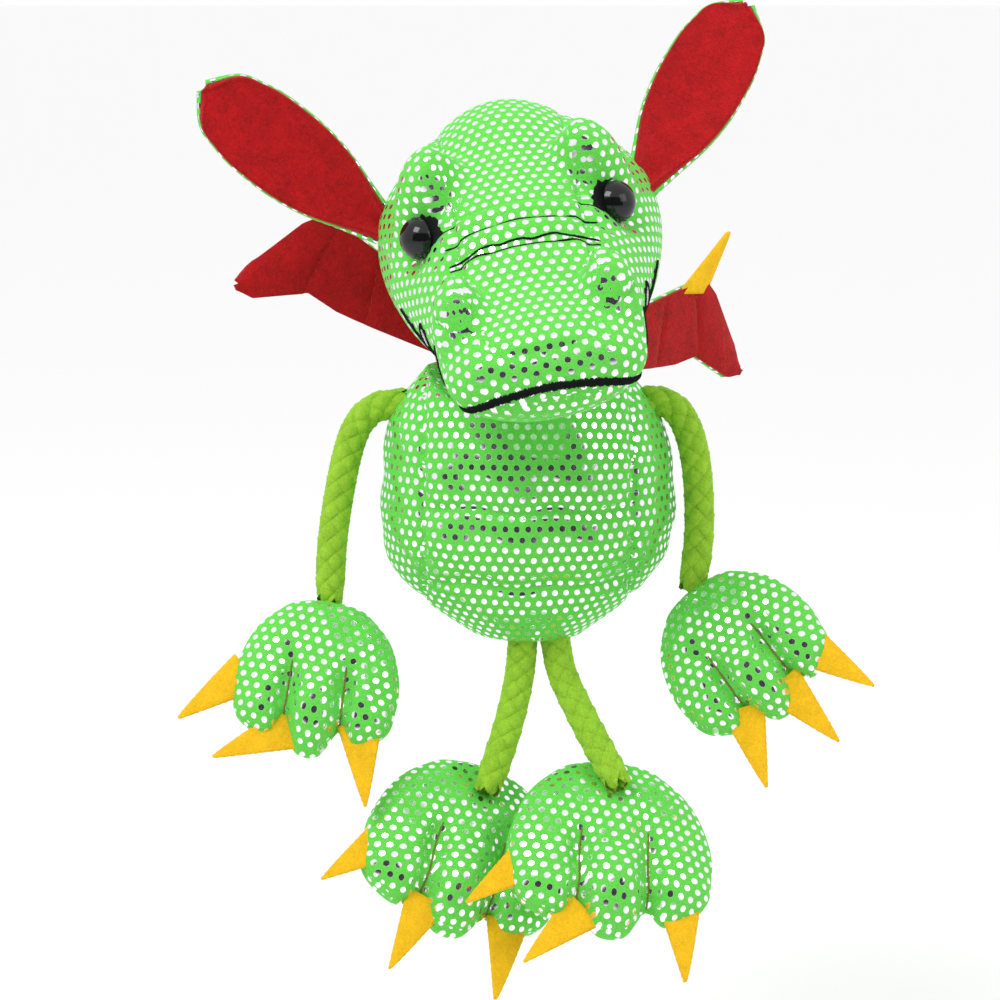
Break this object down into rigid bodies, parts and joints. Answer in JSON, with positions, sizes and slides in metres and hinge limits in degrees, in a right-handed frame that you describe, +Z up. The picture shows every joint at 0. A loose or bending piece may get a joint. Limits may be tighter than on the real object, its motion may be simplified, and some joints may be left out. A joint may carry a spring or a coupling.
{
  "type": "finger puppet",
  "caption": "Stuffed dragon finger puppet in foil-dotted cloth, with a finger sleeve, flapping felt ears and wings, and padded hands and feet on braided cords.",
  "frame": {"origin": "on the axis of the finger sleeve, at the level of the puppet's seat", "axes": "+Z up along the sleeve, -Y the way the puppet looks, +X its left side"},
  "size_m": [0.145, 0.1268, 0.206],
  "materials": {
    "dotted_cloth": "bright green cloth with small silver foil dots",
    "stuffing": "white polyester fibre",
    "lining_cotton": "plain woven cotton",
    "black_thread": "satin-stitched embroidery thread",
    "white_thread": "satin-stitched embroidery thread",
    "olive_thread": "topstitching thread",
    "black_plastic": "polished",
    "washer_plastic": "moulded",
    "red_felt": "short brushed pile",
    "yellow_felt": "dense pressed felt",
    "cotton_cord": "braided cotton"
  },
  "bodies": {
    "torso": {"belly_panel": "dotted_cloth", "side_panel_left": "dotted_cloth", "side_panel_right": "dotted_cloth", "body_stuffing": "stuffing", "finger_sleeve": "lining_cotton", "sleeve_hem": "lining_cotton"},
    "neck": {"neck_stuffing": "stuffing", "neck_cloth": "dotted_cloth"},
    "head": {"head_stuffing": "stuffing", "mouth_stitching": "black_thread", "chin_panel": "dotted_cloth", "nose_panel": "dotted_cloth", "crown_gusset": "dotted_cloth", "bridge_stitching": "black_thread", "cheek_panel_left": "dotted_cloth", "cheek_panel_right": "dotted_cloth", "eye_patches": "black_thread", "jaw_stitching": "black_thread", "fangs": "white_thread", "brows": "dotted_cloth", "nostrils": "dotted_cloth", "eye_left": "black_plastic", "eye_right": "black_plastic", "eye_washers": "washer_plastic"},
    "ear_left": {"ear_lining_left": "red_felt", "ear_back_left": "dotted_cloth"},
    "wing_left": {"wing_lining_left": "red_felt", "wing_back_left": "dotted_cloth", "wing_stitching_left": "olive_thread", "wing_claw_left": "yellow_felt"},
    "ear_right": {"ear_lining_right": "red_felt", "ear_back_right": "dotted_cloth"},
    "wing_right": {"wing_lining_right": "red_felt", "wing_back_right": "dotted_cloth", "wing_stitching_right": "olive_thread", "wing_claw_right": "yellow_felt"},
    "arm_left_upper": {"arm_left_upper_cord": "cotton_cord"},
    "arm_left_lower": {"arm_left_lower_cord": "cotton_cord"},
    "hand_left": {"hand_left_stuffing": "stuffing", "hand_left_top": "dotted_cloth", "hand_left_palm": "dotted_cloth", "hand_left_claws": "yellow_felt"},
    "arm_right_upper": {"arm_right_upper_cord": "cotton_cord"},
    "arm_right_lower": {"arm_right_lower_cord": "cotton_cord"},
    "hand_right": {"hand_right_stuffing": "stuffing", "hand_right_top": "dotted_cloth", "hand_right_palm": "dotted_cloth", "hand_right_claws": "yellow_felt"},
    "leg_left_upper": {"leg_left_upper_cord": "cotton_cord"},
    "leg_left_lower": {"leg_left_lower_cord": "cotton_cord"},
    "foot_left": {"foot_left_stuffing": "stuffing", "foot_left_top": "dotted_cloth", "foot_left_sole": "dotted_cloth", "foot_left_claws": "yellow_felt"},
    "leg_right_upper": {"leg_right_upper_cord": "cotton_cord"},
    "leg_right_lower": {"leg_right_lower_cord": "cotton_cord"},
    "foot_right": {"foot_right_stuffing": "stuffing", "foot_right_top": "dotted_cloth", "foot_right_sole": "dotted_cloth", "foot_right_claws": "yellow_felt"}
  },
  "joints": [
    {"name": "head_turn", "type": "hinge", "parent": "torso", "child": "neck", "pos_m": [-0.0015, -0.005, 0.0535], "axis": [0, 0, 1], "range_deg": [-20, 20], "stiffness_Nm_per_rad": 0.3},
    {"name": "head_nod", "type": "hinge", "parent": "neck", "child": "head", "pos_m": [-0.0015, -0.005, 0.0535], "axis": [1, 0, 0], "range_deg": [-8, 8], "stiffness_Nm_per_rad": 0.5},
    {"name": "ear_flap_left", "type": "hinge", "parent": "head", "child": "ear_left", "pos_m": [0.0259, -0.0022, 0.0975], "axis": [-0.8587, 0.051, 0.5099], "range_deg": [-20, 20], "stiffness_Nm_per_rad": 0.02},
    {"name": "wing_flap_left", "type": "hinge", "parent": "torso", "child": "wing_left", "pos_m": [0.008, 0.0175, 0.052], "axis": [0, 0, 1], "range_deg": [-15, 30], "stiffness_Nm_per_rad": 0.03},
    {"name": "ear_flap_right", "type": "hinge", "parent": "head", "child": "ear_right", "pos_m": [-0.0352, -0.0042, 0.0862], "axis": [-0.615, -0.0785, -0.7846], "range_deg": [-20, 20], "stiffness_Nm_per_rad": 0.02},
    {"name": "wing_flap_right", "type": "hinge", "parent": "torso", "child": "wing_right", "pos_m": [-0.008, 0.0175, 0.052], "axis": [0, 0, 1], "range_deg": [-30, 15], "stiffness_Nm_per_rad": 0.03},
    {"name": "shoulder_left", "type": "hinge", "parent": "torso", "child": "arm_left_upper", "pos_m": [0.0272, -0.008, 0.0472], "axis": [1, 0, 0], "range_deg": [-40, 40], "stiffness_Nm_per_rad": 0.02},
    {"name": "elbow_left", "type": "hinge", "parent": "arm_left_upper", "child": "arm_left_lower", "pos_m": [0.03515, -0.0121, 0.028], "axis": [0, 1, 0], "range_deg": [-35, 10], "stiffness_Nm_per_rad": 0.012},
    {"name": "wrist_left", "type": "hinge", "parent": "arm_left_lower", "child": "hand_left", "pos_m": [0.0338, -0.014, 0.0083], "axis": [1, 0, 0], "range_deg": [-25, 25], "stiffness_Nm_per_rad": 0.008},
    {"name": "hip_left", "type": "hinge", "parent": "torso", "child": "leg_left_upper", "pos_m": [0.0049, -0.0154, -0.004], "axis": [1, 0, 0], "range_deg": [-40, 2], "stiffness_Nm_per_rad": 0.02},
    {"name": "knee_left", "type": "hinge", "parent": "leg_left_upper", "child": "leg_left_lower", "pos_m": [0.0076, -0.0185, -0.0133], "axis": [1, 0, 0], "range_deg": [-35, 2], "stiffness_Nm_per_rad": 0.015},
    {"name": "ankle_left", "type": "hinge", "parent": "leg_left_lower", "child": "foot_left", "pos_m": [0.0176, -0.0315, -0.0301], "axis": [1, 0, 0], "range_deg": [-20, 2], "stiffness_Nm_per_rad": 0.01},
    {"name": "shoulder_right", "type": "hinge", "parent": "torso", "child": "arm_right_upper", "pos_m": [-0.0304, -0.008, 0.0465], "axis": [1, 0, 0], "range_deg": [-40, 40], "stiffness_Nm_per_rad": 0.02},
    {"name": "elbow_right", "type": "hinge", "parent": "arm_right_upper", "child": "arm_right_lower", "pos_m": [-0.0407, -0.0118, 0.03005], "axis": [0, 1, 0], "range_deg": [-10, 35], "stiffness_Nm_per_rad": 0.012},
    {"name": "wrist_right", "type": "hinge", "parent": "arm_right_lower", "child": "hand_right", "pos_m": [-0.0432, -0.014, 0.0055], "axis": [1, 0, 0], "range_deg": [-25, 25], "stiffness_Nm_per_rad": 0.008},
    {"name": "hip_right", "type": "hinge", "parent": "torso", "child": "leg_right_upper", "pos_m": [-0.0022, -0.0154, -0.004], "axis": [1, 0, 0], "range_deg": [-2, 40], "stiffness_Nm_per_rad": 0.02},
    {"name": "knee_right", "type": "hinge", "parent": "leg_right_upper", "child": "leg_right_lower", "pos_m": [-0.0035, -0.0165, -0.0143], "axis": [1, 0, 0], "range_deg": [-2, 35], "stiffness_Nm_per_rad": 0.015},
    {"name": "ankle_right", "type": "hinge", "parent": "leg_right_lower", "child": "foot_right", "pos_m": [-0.0096, -0.0235, -0.0335], "axis": [1, 0, 0], "range_deg": [-2, 20], "stiffness_Nm_per_rad": 0.01}
  ]
}
